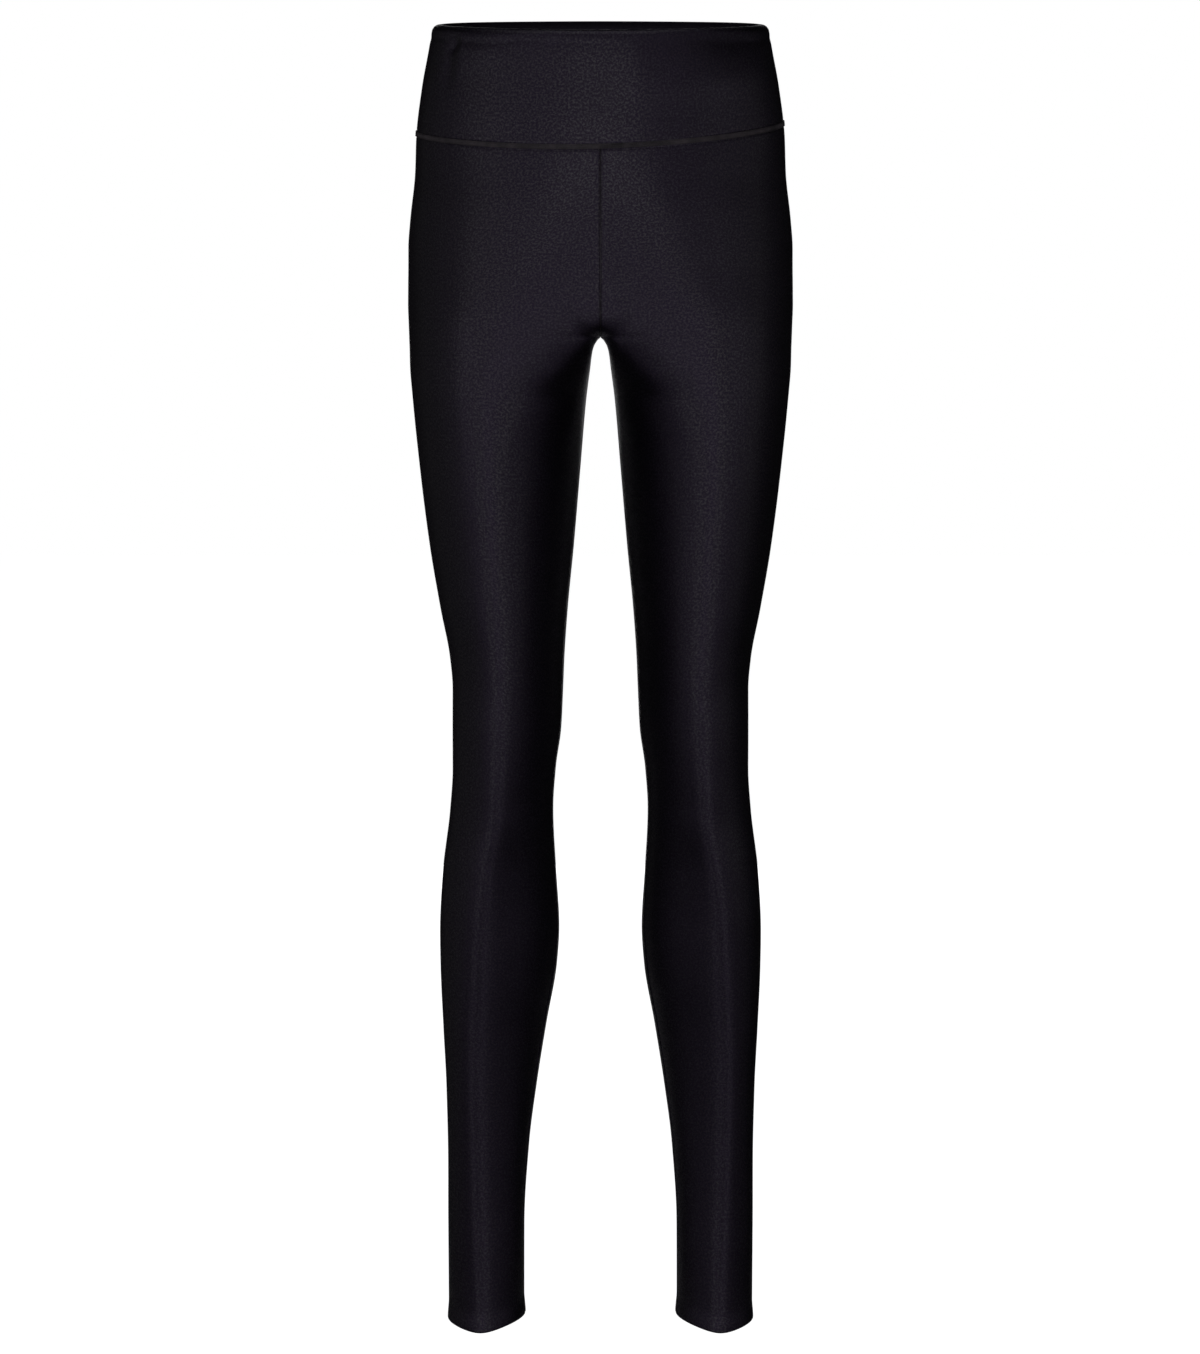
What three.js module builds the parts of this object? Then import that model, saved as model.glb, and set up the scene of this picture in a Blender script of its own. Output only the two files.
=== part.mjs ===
import * as THREE from "three";

// High-waisted, full-length leggings, filled out as on a plain figure: hollow, and open at the
// waist and at both hems. Sizes are in millimetres. +Z is up, the front faces -Y, and the wearer's
// left leg is on +X. The origin is the middle of the waist opening, at the height that its top
// edge has at the sides.

const clothWall = 1.2; // one layer of the knit
const bandWall = 2.2; // the waistband, cut double
const seamGap = 0.3; // between the sewn edges of two pieces
const crotchHeight = -235;
const crotchRounding = 2; // how softly the two legs run into each other at the crotch
const crotchReach = 30; // height over which that softness fades
const frontBridge = 17; // height above the crotch where the front lies flat across both legs
const backBridge = 75; // the same at the back
const bridgeSpread = 0.44; // radians over which the bridge joins the leg
const rowEase = 25; // rows crowd towards the crotch point within about this height
const gatherReach = 60; // columns gather along the middle seams within this height of the crotch
const legColumns = 24; // facets round one leg
const halfBandColumns = 24; // facets round half of the waistband

// Edges that run round the body: their heights at the side, the front and the back, and how much
// higher they are on the wearer's left.
const topEdge = { side: 1, front: -9, back: 8, lean: 0 };
const waistSeam = { side: -77.5, front: -96, back: -70, lean: 3.8 };
// The hem of a leg. Here side is the mean of its outer and inner sides, and lean lowers the outer.
const hemEdge = { side: -981, front: -988, back: -977.5, lean: -1.2 };

// Sections, from the top down: the half width out to the side, where the inner side of the leg
// would be (below zero where both legs share one section), the front, the back, how far the front
// is turned outwards, how much narrower the front is than the back, as over a shin, and how square
// the front's inner corner is.
const sections = [
  { z: 14, outer: 122, inner: -122, front: -83, back: 84, turn: 0, egg: 0, square: 0 },
  { z: 0, outer: 125.5, inner: -125.5, front: -86, back: 86, turn: 0, egg: 0, square: 0 },
  { z: -20, outer: 129, inner: -129, front: -90, back: 88, turn: 0, egg: 0, square: 0 },
  { z: -47, outer: 134, inner: -134, front: -93, back: 91, turn: 0, egg: 0, square: 0 },
  { z: -84, outer: 138.5, inner: -138.5, front: -97, back: 97, turn: 0, egg: 0, square: 0 },
  { z: -111, outer: 139.5, inner: -121, front: -99, back: 102.5, turn: 0, egg: 0, square: 0 },
  { z: -147, outer: 143.5, inner: -93, front: -100.5, back: 111, turn: 0, egg: 0, square: 0 },
  { z: -168, outer: 145, inner: -76, front: -100.5, back: 114, turn: 0, egg: 0, square: 0 },
  { z: -189, outer: 145, inner: -56, front: -100, back: 115, turn: 0, egg: 0, square: 0 },
  { z: -208, outer: 144.5, inner: -30.5, front: -99, back: 114, turn: 0, egg: 0, square: 0.8 },
  { z: -226, outer: 143, inner: -7.4, front: -97.5, back: 111, turn: 0, egg: 0, square: 0.92 },
  { z: -235, outer: 142.5, inner: 0, front: -97, back: 109, turn: 0, egg: 0, square: 0.93 },
  { z: -243, outer: 143.5, inner: 4, front: -96.5, back: 107, turn: 0.5, egg: 0.04, square: 0.9 },
  { z: -258, outer: 142.5, inner: 6.8, front: -95.7, back: 103.5, turn: 2.5, egg: 0.08, square: 0.78 },
  { z: -282, outer: 141, inner: 11, front: -94.3, back: 98.5, turn: 6.5, egg: 0.15, square: 0.52 },
  { z: -331, outer: 136, inner: 15.5, front: -91.5, back: 89.5, turn: 7.5, egg: 0.22, square: 0.12 },
  { z: -392, outer: 128.5, inner: 20.5, front: -87, back: 78, turn: 5.5, egg: 0.22, square: 0 },
  { z: -439, outer: 120.5, inner: 25, front: -83.5, back: 69, turn: 4.5, egg: 0.2, square: 0 },
  { z: -475, outer: 113.5, inner: 27.5, front: -80.5, back: 60, turn: 4.5, egg: 0.22, square: 0 },
  { z: -499, outer: 111.5, inner: 28.5, front: -78.5, back: 54, turn: 4.5, egg: 0.25, square: 0 },
  { z: -529, outer: 111.5, inner: 30, front: -76, back: 45.5, turn: 5, egg: 0.28, square: 0 },
  { z: -559, outer: 111.5, inner: 34, front: -73, back: 39, turn: 4, egg: 0.33, square: 0 },
  { z: -590, outer: 113.5, inner: 36, front: -69.5, back: 36, turn: 4, egg: 0.4, square: 0 },
  { z: -635, outer: 118.5, inner: 35, front: -64, back: 40, turn: 9.5, egg: 0.43, square: 0 },
  { z: -681, outer: 120.5, inner: 33.5, front: -58.5, back: 43, turn: 13.5, egg: 0.4, square: 0 },
  { z: -711, outer: 120, inner: 35.5, front: -55, back: 42, turn: 14, egg: 0.38, square: 0 },
  { z: -757, outer: 118, inner: 43.5, front: -49.5, back: 36, turn: 13, egg: 0.35, square: 0 },
  { z: -803, outer: 116, inner: 50.5, front: -45, back: 28, turn: 11, egg: 0.33, square: 0 },
  { z: -848, outer: 115.5, inner: 55.5, front: -41.5, back: 22, turn: 8, egg: 0.33, square: 0 },
  { z: -909, outer: 116, inner: 58.5, front: -38.5, back: 21.5, turn: 4.5, egg: 0.33, square: 0 },
  { z: -960, outer: 116, inner: 58.5, front: -37.5, back: 27.5, turn: 3, egg: 0.34, square: 0 },
  { z: -1000, outer: 115.5, inner: 58.5, front: -38, back: 32, turn: 2.5, egg: 0.34, square: 0 },
];

// The raised, flat-sewn waist seam, and the legs' rows next to it: how far an edge row lies from
// the join, and how far its outer face is raised.
const seamRidge = [
  { away: 0, raised: 0.5 },
  { away: 3, raised: 0.5 },
  { away: 3.9, raised: 0 },
];

// The elastic roll along the top edge: how far below the edge, and how far outside and inside
// the waistband's own surface its two faces are. The edge curls in towards the body.
const topRoll = [
  { down: 0, outside: -5.2, inside: 7.4 },
  { down: 1, outside: -2.6, inside: 6.2 },
  { down: 2.6, outside: -0.9, inside: 4.6 },
  { down: 5, outside: 0.2, inside: 3.2 },
  { down: 8, outside: 0.3, inside: 2.8 },
  { down: 10.5, outside: 0, inside: 2.2 },
];

// The turned hem, two layers that flare a little: how far above the edge, and its two faces.
const hemTurn = [
  { up: 14.6, outside: 0, inside: 1.2 },
  { up: 13.6, outside: 0.2, inside: 2 },
  { up: 1, outside: 1.1, inside: 1.1 },
  { up: 0, outside: 0.7, inside: 0.7 },
];

const upperRows = 13; // from the waist seam's ridge to the crotch
const lowerRows = 27; // from the crotch to the hem's turn
const bandRows = 3; // between the roll and the waist seam's ridge

const columnNames = ["outer", "inner", "front", "back", "turn", "egg", "square"];

// A smooth curve through one column of the table that never swings past its values: cubic
// stretches whose slope at a row is the harmonic mean of the slopes on both sides of it.
function curveThrough(rows, column) {
  const rise = (i) => (rows[i + 1][column] - rows[i][column]) / (rows[i + 1].z - rows[i].z);
  const last = rows.length - 1;
  const slopes = rows.map((row, i) => {
    const above = rise(Math.max(i - 1, 0));
    const below = rise(Math.min(i, last - 1));
    return above * below > 0 ? (2 * above * below) / (above + below) : 0;
  });
  return (z) => {
    let i = 0;
    while (i < last - 1 && z < rows[i + 1].z) i += 1;
    const length = rows[i + 1].z - rows[i].z;
    const t = THREE.MathUtils.clamp((z - rows[i].z) / length, 0, 1);
    const start = rows[i][column];
    const end = rows[i + 1][column];
    return (
      start * (1 + 2 * t) * (1 - t) ** 2 +
      end * t * t * (3 - 2 * t) +
      slopes[i] * length * t * (1 - t) ** 2 -
      slopes[i + 1] * length * t * t * (1 - t)
    );
  };
}

const curves = Object.fromEntries(columnNames.map((name) => [name, curveThrough(sections, name)]));

// The height of an edge at an angle round the body: 0 at the front, a quarter turn at the outer
// side, a half turn at the back.
function edgeHeight(edge, angle, side) {
  const c = Math.cos(angle);
  const bend = (edge.front + edge.back) / 2 - edge.side;
  return (
    edge.side + bend * c * c + ((edge.front - edge.back) / 2) * c + side * edge.lean * Math.sin(angle)
  );
}

// How much of the cleft between two legs the cloth spans: 0 at the crotch, and from there ever
// slower up to 1 at a height.
function bridged(z, height) {
  const t = THREE.MathUtils.clamp((z - crotchHeight) / height, 0, 1);
  return t * (2 - t);
}

// The half of the body on +X as one surface: v runs from its front edge, over the outer side at a
// half, to its back edge. Above the crotch both edges lie in the middle plane; below it they meet
// at the inner side of the leg.
function surfacePoint(z, v) {
  const s = Object.fromEntries(columnNames.map((name) => [name, curves[name](z)]));
  const middleX = (s.outer + s.inner) / 2;
  const halfWidth = (s.outer - s.inner) / 2;
  const middleY = (s.front + s.back) / 2;
  const halfDepth = (s.back - s.front) / 2;
  const reach = Math.PI / 2 + Math.asin(Math.min(1, middleX / halfWidth));
  const gather = 1 + (Math.PI / reach - 1) * Math.exp(-(((z - crotchHeight) / gatherReach) ** 2));
  const turned = reach * (1 - (1 - Math.abs(2 * v - 1)) ** gather);
  const angle = Math.PI / 2 + Math.sign(v - 0.5) * turned;
  const c = Math.cos(angle);
  const frontShare = bridged(z, frontBridge) * (0.5 - 0.5 * Math.tanh(angle / bridgeSpread));
  const backShare =
    bridged(z, backBridge) * (0.5 + 0.5 * Math.tanh((angle - Math.PI) / bridgeSpread));
  const squared = c > 0 && angle < 0 ? c ** (1 - s.square) : c;
  const forward = squared + (c > 0 ? frontShare * (1 - squared) : -backShare * (1 + c));
  const narrowed = 1 - s.egg * Math.max(0, c) ** 2;
  const across = middleX + halfWidth * Math.sin(angle) * narrowed + s.turn * c;
  const softness = crotchRounding * Math.exp(-(((z - crotchHeight) / crotchReach) ** 2));
  const x = Math.sqrt(Math.max(0, across) * (Math.max(0, across) + 2 * softness));
  const point = new THREE.Vector3(Math.max(x, seamGap / 2), middleY - halfDepth * forward, z);
  if (v === 0) point.y = Math.min(point.y, middleY - seamGap / 2);
  if (v === 1) point.y = Math.max(point.y, middleY + seamGap / 2);
  return { point, angle };
}

// The direction straight out of the surface, from its slopes along v and along z. On the edges in
// the middle plane it has no sideways part, so that both halves meet there face to face.
function outward(z, v) {
  const onMiddle = (v === 0 || v === 1) && z >= crotchHeight;
  const small = 0.002;
  const stepZ = z >= crotchHeight ? 0.5 : -0.5;
  const ahead = surfacePoint(z, Math.min(1, v + small)).point;
  const behind = surfacePoint(z, Math.max(0, v - small)).point;
  const along = ahead.sub(behind);
  const up = surfacePoint(z + stepZ, v).point.sub(surfacePoint(z, v).point).divideScalar(stepZ);
  if (onMiddle) {
    along.set(v === 0 ? 1 : -1, 0, 0);
    up.x = 0;
  }
  return along.cross(up).normalize();
}

// A closed wall from a grid of rows and columns of [outer point, inner point], its squares split
// along the shorter diagonal. Mirrored for the wearer's right, which turns each face round.
function wallGeometry(grid, side) {
  const rows = grid.length;
  const columns = grid[0].length;
  const positions = [];
  for (const layer of [0, 1])
    for (const row of grid)
      for (const cell of row) positions.push(side * cell[layer].x, cell[layer].y, cell[layer].z);
  const at = (row, column, layer) => (layer * rows + row) * columns + column;
  const index = [];
  const face = (a, b, c) => index.push(...(side > 0 ? [a, b, c] : [a, c, b]));
  const span = (a, b) => {
    const [p, q] = [a, b].map((i) => new THREE.Vector3().fromArray(positions, 3 * i));
    return p.distanceTo(q);
  };
  const quad = (a, b, c, d) => {
    if (span(a, c) < span(b, d)) {
      face(a, b, c);
      face(a, c, d);
    } else {
      face(a, b, d);
      face(b, c, d);
    }
  };
  for (let r = 0; r + 1 < rows; r += 1) {
    for (let c = 0; c + 1 < columns; c += 1) {
      quad(at(r, c, 0), at(r + 1, c, 0), at(r + 1, c + 1, 0), at(r, c + 1, 0));
      quad(at(r, c, 1), at(r, c + 1, 1), at(r + 1, c + 1, 1), at(r + 1, c, 1));
    }
    const last = columns - 1;
    quad(at(r, 0, 0), at(r, 0, 1), at(r + 1, 0, 1), at(r + 1, 0, 0));
    quad(at(r, last, 0), at(r + 1, last, 0), at(r + 1, last, 1), at(r, last, 1));
  }
  for (let c = 0; c + 1 < columns; c += 1) {
    const last = rows - 1;
    quad(at(0, c, 0), at(0, c + 1, 0), at(0, c + 1, 1), at(0, c, 1));
    quad(at(last, c, 0), at(last, c, 1), at(last, c + 1, 1), at(last, c + 1, 0));
  }
  const geometry = new THREE.BufferGeometry();
  geometry.setAttribute("position", new THREE.Float32BufferAttribute(positions, 3));
  geometry.setIndex(index);
  geometry.computeVertexNormals();
  return geometry;
}

// The outer and the inner point of a wall at one place of the surface.
function wallCell(z, v, outside, inside) {
  const { point } = surfacePoint(z, v);
  const normal = outward(z, v);
  const cell = [outside, -inside].map((offset) => point.clone().addScaledVector(normal, offset));
  for (const corner of cell) corner.x = Math.max(corner.x, seamGap / 2);
  return cell;
}

// A leg's rows, from the waist seam down: the height at the outer side and the two faces.
function legRows() {
  const firstTurn = hemEdge.side + hemTurn[0].up;
  const firstPlain = waistSeam.side - seamRidge[seamRidge.length - 1].away;
  const plainRow = (z) => ({ z, outside: 0, inside: clothWall });
  const ridge = seamRidge.map(({ away, raised }) => ({
    z: waistSeam.side - seamGap / 2 - away,
    outside: raised,
    inside: clothWall,
  }));
  const upper = Array.from({ length: upperRows }, (_, i) =>
    plainRow(THREE.MathUtils.lerp(firstPlain, crotchHeight, (i + 1) / upperRows)),
  );
  const lower = Array.from({ length: lowerRows - 1 }, (_, i) =>
    plainRow(THREE.MathUtils.lerp(crotchHeight, firstTurn, (i + 1) / lowerRows)),
  );
  const hem = hemTurn.map(({ up, outside, inside }) => ({ z: hemEdge.side + up, outside, inside }));
  return [...ridge, ...upper, ...lower, ...hem];
}

// A leg of one cut piece: it wraps from the centre front seam round the outer side to the centre
// back seam, and is sewn to itself along the inseam.
function legGeometry(side) {
  const seamFadeTop = waistSeam.side - seamRidge[seamRidge.length - 1].away - seamGap;
  const hemFadeLow = hemEdge.side + hemTurn[0].up;
  const hemFadeHigh = hemFadeLow + 130;
  const grid = legRows().map(({ z: sideZ, outside, inside }) =>
    Array.from({ length: legColumns + 1 }, (_, i) => {
      const v = i / legColumns;
      const above = sideZ - crotchHeight;
      const crowded = above * (1 - Math.exp(-Math.abs(above) / rowEase));
      const ends = Math.abs(2 * v - 1) ** 4;
      const level = crotchHeight + THREE.MathUtils.lerp(above, crowded, ends);
      const { angle } = surfacePoint(level, v);
      const nearSeam = THREE.MathUtils.smoothstep(sideZ, crotchHeight, seamFadeTop);
      const nearHem = 1 - THREE.MathUtils.smoothstep(sideZ, hemFadeLow, hemFadeHigh);
      const z =
        level +
        nearSeam * (edgeHeight(waistSeam, angle, side) - waistSeam.side) +
        nearHem * (edgeHeight(hemEdge, angle, 1) - hemEdge.side);
      return wallCell(z, v, outside, inside);
    }),
  );
  return wallGeometry(grid, side);
}

// One place of the waistband at a turn round the body: 0 at the front, a quarter turn on the
// wearer's left. Cells on a side seam keep half of the seam's gap to the other half of the band.
function bandCell(heightOf, turn, seamShift, outside, inside) {
  const side = Math.sin(turn) < 0 ? -1 : 1;
  const v = Math.acos(Math.cos(turn)) / Math.PI;
  const z = heightOf(edgeHeight(topEdge, v * Math.PI, side), edgeHeight(waistSeam, v * Math.PI, side));
  const cell = wallCell(z, v, outside, inside);
  for (const corner of cell) {
    corner.x = v === 0 || v === 1 ? 0 : side * corner.x;
    corner.y += seamShift;
  }
  return cell;
}

// Half of the double waistband, front or back, from one side seam to the other, with the elastic
// roll along its top edge.
function bandGeometry(isFront) {
  const ridgeTop = seamRidge[seamRidge.length - 1].away;
  const rollLow = topRoll[topRoll.length - 1].down;
  const between = (i) => (top, seam) =>
    THREE.MathUtils.lerp(top - rollLow, seam + ridgeTop, i / (bandRows + 1));
  const rows = [
    ...topRoll.map(({ down, outside, inside }) => ({ heightOf: (top) => top - down, outside, inside })),
    ...Array.from({ length: bandRows }, (_, i) => ({
      heightOf: between(i + 1),
      outside: 0,
      inside: bandWall,
    })),
    ...[...seamRidge].reverse().map(({ away, raised }) => ({
      heightOf: (top, seam) => seam + seamGap / 2 + away,
      outside: raised,
      inside: bandWall,
    })),
  ];
  const start = isFront ? -Math.PI / 2 : Math.PI / 2;
  const shift = ((isFront ? -1 : 1) * seamGap) / 2;
  const grid = rows.map(({ heightOf, outside, inside }) =>
    Array.from({ length: halfBandColumns + 1 }, (_, i) => {
      const onSeam = i === 0 || i === halfBandColumns;
      const turn = start + (Math.PI * i) / halfBandColumns;
      return bandCell(heightOf, turn, onSeam ? shift : 0, outside, inside);
    }),
  );
  return wallGeometry(grid, 1);
}

const knit = new THREE.MeshStandardMaterial({ color: 0x0c0b0f, roughness: 0.42, metalness: 0 });
const bandKnit = new THREE.MeshStandardMaterial({ color: 0x0d0c10, roughness: 0.45, metalness: 0 });

function addMesh(group, name, geometry, material) {
  const mesh = new THREE.Mesh(geometry, material.clone());
  mesh.name = name;
  group.add(mesh);
}

const leggings = new THREE.Group();
addMesh(leggings, "left_leg", legGeometry(1), knit);
addMesh(leggings, "right_leg", legGeometry(-1), knit);
addMesh(leggings, "waistband_front", bandGeometry(true), bandKnit);
addMesh(leggings, "waistband_back", bandGeometry(false), bandKnit);

export default leggings;
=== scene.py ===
import math

import bpy
import numpy as np
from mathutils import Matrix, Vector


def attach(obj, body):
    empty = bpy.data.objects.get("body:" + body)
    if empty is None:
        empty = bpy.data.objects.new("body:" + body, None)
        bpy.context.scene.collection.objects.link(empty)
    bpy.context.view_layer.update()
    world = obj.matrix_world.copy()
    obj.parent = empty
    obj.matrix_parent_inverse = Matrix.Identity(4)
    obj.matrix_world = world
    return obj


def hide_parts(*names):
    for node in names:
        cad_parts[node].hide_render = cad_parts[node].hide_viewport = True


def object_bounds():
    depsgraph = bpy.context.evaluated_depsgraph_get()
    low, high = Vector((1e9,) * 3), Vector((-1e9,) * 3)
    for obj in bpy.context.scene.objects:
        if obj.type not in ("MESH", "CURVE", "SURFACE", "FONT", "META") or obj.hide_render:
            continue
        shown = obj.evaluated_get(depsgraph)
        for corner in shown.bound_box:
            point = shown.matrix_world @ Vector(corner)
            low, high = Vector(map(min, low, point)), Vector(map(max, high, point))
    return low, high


# Looks of a pair of glossy black leggings, filled out and hollow. Shapes are worked out in
# millimetres, +Z up and the front at -Y, and put into the meshes in metres.
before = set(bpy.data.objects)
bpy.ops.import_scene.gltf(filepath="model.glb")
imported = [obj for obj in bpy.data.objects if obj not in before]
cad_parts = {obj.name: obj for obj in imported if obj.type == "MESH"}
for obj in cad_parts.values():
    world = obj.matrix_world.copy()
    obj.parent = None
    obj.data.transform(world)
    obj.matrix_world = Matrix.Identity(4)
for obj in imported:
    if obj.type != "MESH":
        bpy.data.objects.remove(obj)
cadBox = [list(corner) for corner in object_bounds()]
metre = 0.001

# The garment's own form, as its solids have it. Two values are set about 1 mm off theirs: the top
# edge's height at the back, and the outer side at height -243.
body = {
    "seamGap": 0.3,
    "crotchHeight": -235,
    "crotchRounding": 2,  # how softly the two legs run into each other at the crotch
    "crotchReach": 30,
    "frontBridge": 17,  # height above the crotch where the front lies flat across both legs
    "backBridge": 75,
    "bridgeSpread": 0.44,  # radians over which the bridge joins the leg
    "rowEase": 25,  # rows crowd towards the crotch within about this height
    "gatherReach": 60,  # columns gather along the middle seams within this height of the crotch
    "topEdge": {"side": 1, "front": -9, "back": 9, "lean": 0},
    "waistSeam": {"side": -77.5, "front": -96, "back": -70, "lean": 3.8},
    "hemEdge": {"side": -981, "front": -988, "back": -977.5, "lean": -1.2},
}

sectionColumns = ("z", "outer", "inner", "front", "back", "turn", "egg", "square")
sections = np.array([
    (14, 122, -122, -83, 84, 0, 0, 0),
    (0, 125.5, -125.5, -86, 86, 0, 0, 0),
    (-20, 129, -129, -90, 88, 0, 0, 0),
    (-47, 134, -134, -93, 91, 0, 0, 0),
    (-84, 138.5, -138.5, -97, 97, 0, 0, 0),
    (-111, 139.5, -121, -99, 102.5, 0, 0, 0),
    (-147, 143.5, -93, -100.5, 111, 0, 0, 0),
    (-168, 145, -76, -100.5, 114, 0, 0, 0),
    (-189, 145, -56, -100, 115, 0, 0, 0),
    (-208, 144.5, -30.5, -99, 114, 0, 0, 0.8),
    (-226, 143, -7.4, -97.5, 111, 0, 0, 0.92),
    (-235, 142.5, 0, -97, 109, 0, 0, 0.93),
    (-243, 142.3, 4, -96.5, 107, 0.5, 0.04, 0.9),
    (-258, 142.5, 6.8, -95.7, 103.5, 2.5, 0.08, 0.78),
    (-282, 141, 11, -94.3, 98.5, 6.5, 0.15, 0.52),
    (-331, 136, 15.5, -91.5, 89.5, 7.5, 0.22, 0.12),
    (-392, 128.5, 20.5, -87, 78, 5.5, 0.22, 0),
    (-439, 120.5, 25, -83.5, 69, 4.5, 0.2, 0),
    (-475, 113.5, 27.5, -80.5, 60, 4.5, 0.22, 0),
    (-499, 111.5, 28.5, -78.5, 54, 4.5, 0.25, 0),
    (-529, 111.5, 30, -76, 45.5, 5, 0.28, 0),
    (-559, 111.5, 34, -73, 39, 4, 0.33, 0),
    (-590, 113.5, 36, -69.5, 36, 4, 0.4, 0),
    (-635, 118.5, 35, -64, 40, 9.5, 0.43, 0),
    (-681, 120.5, 33.5, -58.5, 43, 13.5, 0.4, 0),
    (-711, 120, 35.5, -55, 42, 14, 0.38, 0),
    (-757, 118, 43.5, -49.5, 36, 13, 0.35, 0),
    (-803, 116, 50.5, -45, 28, 11, 0.33, 0),
    (-848, 115.5, 55.5, -41.5, 22, 8, 0.33, 0),
    (-909, 116, 58.5, -38.5, 21.5, 4.5, 0.33, 0),
    (-960, 116, 58.5, -37.5, 27.5, 3, 0.34, 0),
    (-1000, 115.5, 58.5, -38, 32, 2.5, 0.34, 0),
])


# 0 below low, 1 above high, and a smooth step between them
def smoothStep(x, low, high):
    t = np.clip((x - low) / (high - low), 0, 1)
    return t * t * (3 - 2 * t)


def mix(a, b, share):
    return a + (b - a) * share


# A smooth curve through one column of the sections that never swings past its values: cubic
# stretches whose slope at a row is the harmonic mean of the slopes on both sides of it.
def curveThrough(column):
    heights, values = sections[:, 0], sections[:, column]
    rise = np.diff(values) / np.diff(heights)
    above, below = np.append(rise[:1], rise), np.append(rise, rise[-1:])
    same = above * below > 0
    slopes = np.where(same, 2 * above * below / np.where(same, above + below, 1), 0)

    def curve(z):
        i = np.clip(np.searchsorted(-heights, -z, side="right") - 1, 0, len(heights) - 2)
        length = heights[i + 1] - heights[i]
        t = np.clip((z - heights[i]) / length, 0, 1)
        return (
            values[i] * (1 + 2 * t) * (1 - t) ** 2
            + values[i + 1] * t * t * (3 - 2 * t)
            + slopes[i] * length * t * (1 - t) ** 2
            - slopes[i + 1] * length * t * t * (1 - t)
        )

    return curve


curves = {name: curveThrough(i) for i, name in enumerate(sectionColumns) if name != "z"}


# The height of an edge at an angle round the body: 0 at the front, a quarter turn at the outer
# side, a half turn at the back. It is a cosine bend from side to front and back, plus a lean.
def edgeHeight(edge, angle, side):
    c = np.cos(angle)
    bend = (edge["front"] + edge["back"]) / 2 - edge["side"]
    slope = (edge["front"] - edge["back"]) / 2
    return edge["side"] + bend * c * c + slope * c + side * edge["lean"] * np.sin(angle)


# How much of the cleft between two legs the cloth spans: 0 at the crotch, and from there ever
# slower up to 1 at a height.
def bridged(above, height):
    t = np.clip(above / height, 0, 1)
    return t * (2 - t)


# Half of the body on +X as one surface. v runs from its front edge at 0, over the outer side at
# a half, to its back edge at 1. Each height is an ellipse between outer and inner, front and
# back, its front turned outwards and its inner front corner squared near the crotch; where the
# ellipse would pass the middle plane it ends there, and above the crotch a bridge fills the cleft
# between the two halves, front and back.
def bodySurface(z, v):
    z, v = np.broadcast_arrays(np.asarray(z, float), np.asarray(v, float))
    s = {name: curve(z) for name, curve in curves.items()}
    middleX, halfWidth = (s["outer"] + s["inner"]) / 2, (s["outer"] - s["inner"]) / 2
    middleY, halfDepth = (s["front"] + s["back"]) / 2, (s["back"] - s["front"]) / 2
    above = z - body["crotchHeight"]
    reach = math.pi / 2 + np.arcsin(np.minimum(1, middleX / halfWidth))
    gather = 1 + (math.pi / reach - 1) * np.exp(-((above / body["gatherReach"]) ** 2))
    turned = reach * (1 - (1 - np.abs(2 * v - 1)) ** gather)
    angle = math.pi / 2 + np.sign(v - 0.5) * turned
    c = np.cos(angle)
    spread = body["bridgeSpread"]
    frontShare = bridged(above, body["frontBridge"]) * (0.5 - 0.5 * np.tanh(angle / spread))
    behind = 0.5 + 0.5 * np.tanh((angle - math.pi) / spread)
    backShare = bridged(above, body["backBridge"]) * behind
    squared = np.where((c > 0) & (angle < 0), np.abs(c) ** (1 - s["square"]), c)
    forward = squared + np.where(c > 0, frontShare * (1 - squared), -backShare * (1 + c))
    narrowed = 1 - s["egg"] * np.maximum(0, c) ** 2
    across = np.maximum(0, middleX + halfWidth * np.sin(angle) * narrowed + s["turn"] * c)
    softness = body["crotchRounding"] * np.exp(-((above / body["crotchReach"]) ** 2))
    half = body["seamGap"] / 2
    x = np.maximum(np.sqrt(across * (across + 2 * softness)), half)
    y = middleY - halfDepth * forward
    y = np.where(v == 0, np.minimum(y, middleY - half), y)
    y = np.where(v == 1, np.maximum(y, middleY + half), y)
    return np.stack([x, y, z], -1), angle


# Unit normals of a grid of points whose rows go down and whose columns go round from the front
# over +X to the back: the cross product of the steps along a row and up a column.
def gridNormals(points):
    alongRow = np.gradient(points, axis=1)
    upColumn = -np.gradient(points, axis=0)
    normals = np.cross(alongRow, upColumn)
    return normals / np.maximum(np.linalg.norm(normals, axis=-1, keepdims=True), 1e-9)


# Length along a grid's rows or columns, added up from its first point
def runLength(points, axis):
    steps = np.linalg.norm(np.diff(points, axis=axis), axis=-1)
    return np.concatenate([np.zeros_like(steps.take([0], axis)), np.cumsum(steps, axis)], axis)


# The faces of a grid of vertex numbers, one square between each two rows and columns
def gridFaces(grid):
    corners = [grid[:-1, :-1], grid[1:, :-1], grid[1:, 1:], grid[:-1, 1:]]
    return np.stack([c.ravel() for c in corners], 1)


def makeObject(name, points, faces, material, uv=None, smooth=True):
    mesh = bpy.data.meshes.new(name)
    mesh.from_pydata((np.asarray(points) * metre).tolist(), [], faces.tolist())
    if uv is not None:
        loops = np.zeros(len(mesh.loops), np.int64)
        mesh.loops.foreach_get("vertex_index", loops)
        layer = mesh.uv_layers.new(name="Cloth")
        layer.data.foreach_set("uv", (np.asarray(uv) * metre)[loops].astype(np.float32).ravel())
    mesh.polygons.foreach_set("use_smooth", np.full(len(mesh.polygons), smooth))
    for one in material if isinstance(material, list) else [material]:
        mesh.materials.append(one)
    mesh.update()
    made = bpy.data.objects.new(name, mesh)
    bpy.context.scene.collection.objects.link(made)
    return made


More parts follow.
